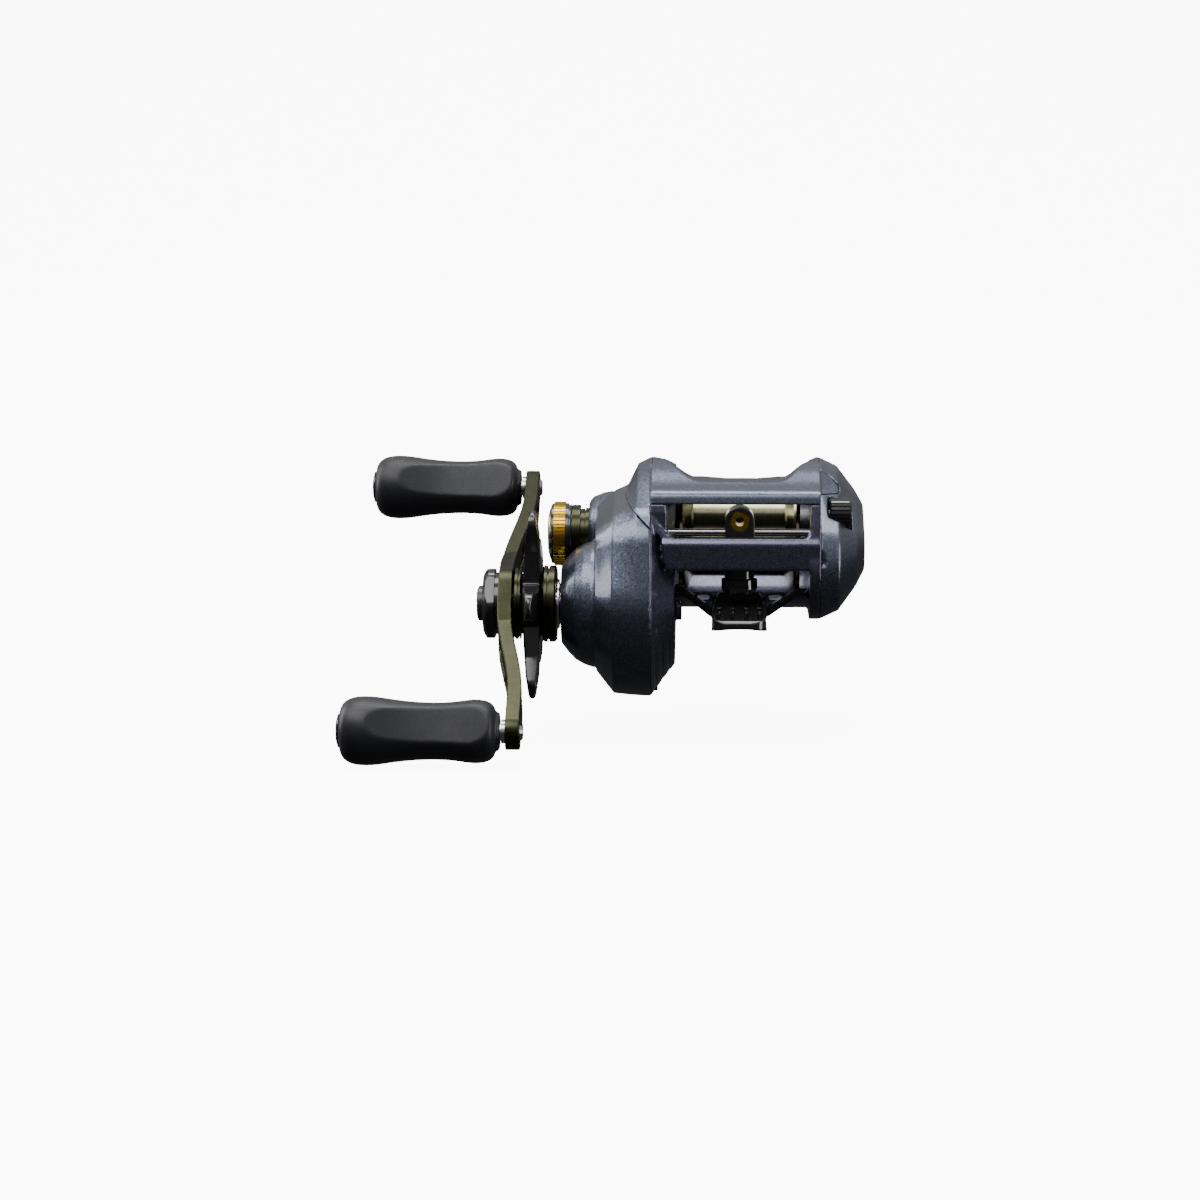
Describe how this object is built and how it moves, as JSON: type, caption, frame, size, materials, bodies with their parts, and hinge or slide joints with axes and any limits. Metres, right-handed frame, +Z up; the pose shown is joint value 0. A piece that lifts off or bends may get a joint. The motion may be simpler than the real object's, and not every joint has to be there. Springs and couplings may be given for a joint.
{
  "type": "baitcasting reel",
  "caption": "Low-profile baitcasting reel with double-paddle crank, star drag, geared spool, level wind, thumb-bar clutch and removable palm cover.",
  "frame": {"origin": "middle of the reel foot's underside, on the rod seat", "axes": "+X towards the palm side, -X the handle side, -Y the front where the line leaves, +Z up"},
  "size_m": [0.1152, 0.099, 0.0624],
  "materials": {
    "blue_metal": "Dark blue-grey metallic flake lacquer, glossy",
    "gloss_black": "Gloss black, moulded or anodised",
    "black_screws": "Black oxide steel",
    "knob_rubber": "Satin soft-touch rubber",
    "knob_cap_gloss": "Gloss black moulded cap",
    "olive_anodised": "Dark olive anodised, polished",
    "gold_anodised": "Gold anodised",
    "champagne_spool": "Champagne anodised, polished",
    "polished_steel": "Polished stainless steel",
    "brass_gear": "Machined brass",
    "carbon_washers": "Woven carbon friction material",
    "white_plastic": "Moulded acetal",
    "brake_metal": "Turned aluminium",
    "magnet_grey": "Magnet ring in a grey carrier"
  },
  "bodies": {
    "frame": {"frame": "blue_metal", "front_hood": "blue_metal", "reel_foot": "gloss_black", "foot_screws": "black_screws", "gear_cover": "blue_metal", "gear_cover_screws": "black_screws", "thumb_rest": "blue_metal", "worm_guard": "gloss_black", "guide_rod": "polished_steel", "worm_bushes": "white_plastic", "gear_side_bearings": "polished_steel", "cast_boss": "olive_anodised", "roller_clutch": "polished_steel", "yoke_posts": "polished_steel"},
    "crank": {"handle_arm": "olive_anodised", "arm_washer": "gloss_black", "handle_nut": "gloss_black", "nut_retainer": "gloss_black", "retainer_screw": "black_screws", "drive_shaft": "polished_steel", "drive_gear": "brass_gear", "drag_washers": "carbon_washers", "pressure_plate": "polished_steel", "ratchet_wheel": "polished_steel", "idler_gear": "white_plastic", "drag_springs": "polished_steel", "star_spacers": "olive_anodised", "clutch_sleeve": "polished_steel", "upper_knob_shaft": "polished_steel", "lower_knob_shaft": "polished_steel"},
    "star": {"star_drag": "gloss_black", "star_nut": "brass_gear"},
    "upper_knob_body": {"upper_knob": "knob_rubber", "upper_knob_cap": "knob_cap_gloss"},
    "lower_knob_body": {"lower_knob": "knob_rubber", "lower_knob_cap": "knob_cap_gloss"},
    "cast_control": {"cast_cap": "gloss_black", "cast_grip_ring": "gold_anodised", "cast_end_disc": "gold_anodised", "friction_disc": "carbon_washers"},
    "spool_body": {"spool": "champagne_spool", "spool_flanges": "champagne_spool", "spool_shaft": "polished_steel", "spool_pin": "polished_steel", "brake_rotor": "brake_metal"},
    "yoke": {"clutch_yoke": "white_plastic", "yoke_springs": "polished_steel"},
    "pinion": {"pinion_gear": "brass_gear"},
    "cam": {"clutch_cam": "white_plastic"},
    "thumb_bar": {"clutch_bar": "gloss_black"},
    "worm": {"worm_shaft": "polished_steel", "worm_gear": "white_plastic"},
    "line_carrier": {"line_guide": "gloss_black", "guide_ring": "gold_anodised", "pawl": "brass_gear", "pawl_cap": "gloss_black"},
    "palm_side": {"palm_cover": "blue_metal", "palm_bearing": "polished_steel", "magnet_ring": "magnet_grey"},
    "dial": {"brake_dial": "gloss_black"}
  },
  "joints": [
    {"name": "handle_spin", "type": "hinge", "parent": "frame", "child": "crank", "pos_m": [-0.03, -0.0096, 0.0034], "axis": [1, 0, 0], "continuous": true},
    {"name": "star_turn", "type": "hinge", "parent": "crank", "child": "star", "pos_m": [-0.0468, -0.0096, 0.0034], "axis": [1, 0, 0], "range_deg": [-180, 360]},
    {"name": "upper_knob_spin", "type": "hinge", "parent": "crank", "child": "upper_knob_body", "pos_m": [-0.069, 0.03234, 0.0257], "axis": [1, 0, 0], "continuous": true},
    {"name": "lower_knob_spin", "type": "hinge", "parent": "crank", "child": "lower_knob_body", "pos_m": [-0.069, -0.05154, -0.0189], "axis": [1, 0, 0], "continuous": true},
    {"name": "cast_cap_turn", "type": "hinge", "parent": "frame", "child": "cast_control", "pos_m": [-0.041, 0.003, 0.018], "axis": [1, 0, 0], "range_deg": [-180, 540]},
    {"name": "spool_spin", "type": "hinge", "parent": "frame", "child": "spool_body", "pos_m": [0, 0.003, 0.018], "axis": [1, 0, 0], "continuous": true},
    {"name": "yoke_slide", "type": "slide", "parent": "frame", "child": "yoke", "axis": [-1, 0, 0], "range_m": [0, 0.0016]},
    {"name": "pinion_spin", "type": "hinge", "parent": "yoke", "child": "pinion", "pos_m": [-0.024, 0.003, 0.018], "axis": [1, 0, 0], "continuous": true},
    {"name": "cam_turn", "type": "hinge", "parent": "frame", "child": "cam", "pos_m": [-0.0202, 0.003, 0.018], "axis": [-1, 0, 0], "range_deg": [0, 21.5]},
    {"name": "clutch_bar_press", "type": "slide", "parent": "frame", "child": "thumb_bar", "axis": [0, 0, -1], "range_m": [0, 0.00448]},
    {"name": "worm_spin", "type": "hinge", "parent": "frame", "child": "worm", "pos_m": [0, -0.0188, 0.0164], "axis": [1, 0, 0], "continuous": true},
    {"name": "line_guide_slide", "type": "slide", "parent": "frame", "child": "line_carrier", "axis": [1, 0, 0], "range_m": [-0.0098, 0.0098]},
    {"name": "palm_cover_off", "type": "slide", "parent": "frame", "child": "palm_side", "axis": [1, 0, 0], "range_m": [0, 0.03]},
    {"name": "brake_dial_turn", "type": "hinge", "parent": "palm_side", "child": "dial", "pos_m": [0.0225, -0.0144, 0.0244], "axis": [1, 0, 0], "range_deg": [0, 180]}
  ],
  "couplings": [
    {"joint": "spool_spin", "follows": "handle_spin", "ratio": -8.5},
    {"joint": "pinion_spin", "follows": "handle_spin", "ratio": -8.5},
    {"joint": "worm_spin", "follows": "handle_spin", "ratio": -1.7273},
    {"joint": "cam_turn", "follows": "clutch_bar_press", "rad_per_m": 83.76},
    {"joint": "yoke_slide", "follows": "clutch_bar_press", "ratio": 0.35714}
  ]
}
